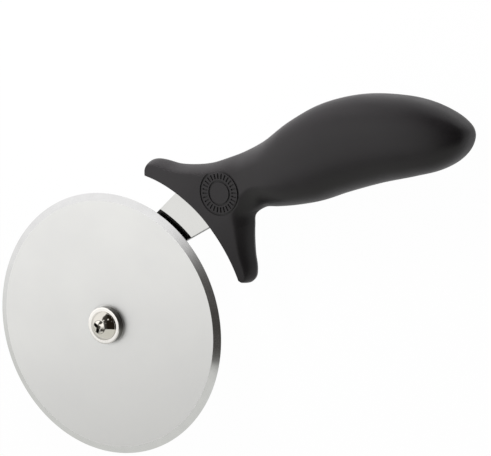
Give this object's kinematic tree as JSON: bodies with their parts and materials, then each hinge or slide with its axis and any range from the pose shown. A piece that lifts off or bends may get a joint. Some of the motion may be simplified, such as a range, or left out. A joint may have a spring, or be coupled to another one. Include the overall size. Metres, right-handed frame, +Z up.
{
  "type": "pizza cutter wheel",
  "caption": "Pizza cutter: a bevelled steel disc that turns on a screw axle, carried by a flat bent shank in a black moulded handle with a crescent finger guard.",
  "frame": {"origin": "middle of the underside of the whole cutter as it lies flat on its back", "axes": "+X along the grip towards its rounded end, +Y towards the side that the thumb rests on, +Z up along the axle towards the screw's head"},
  "size_m": [0.2238, 0.1092, 0.0242],
  "materials": {
    "handle_plastic": "charcoal black, fine matt moulded texture",
    "blade_steel": "smooth satin polish, ground bevel",
    "shank_steel": "bright polish",
    "bush_steel": "bright turned",
    "nickel_plate": "bright nickel plate",
    "white_nylon": "natural nylon"
  },
  "bodies": {
    "frame": {"handle": "handle_plastic", "shank": "shank_steel", "hub_bush": "bush_steel", "axle_screw": "nickel_plate", "thrust_washer": "white_nylon", "plain_washer": "nickel_plate", "lock_washer": "nickel_plate", "cap_nut": "nickel_plate"},
    "wheel": {"cutting_wheel": "blade_steel"}
  },
  "joints": [
    {"name": "wheel_spin", "type": "hinge", "parent": "frame", "child": "wheel", "pos_m": [-0.0611, -0.00385, 0.01543], "axis": [0, 0, 1], "continuous": true}
  ]
}
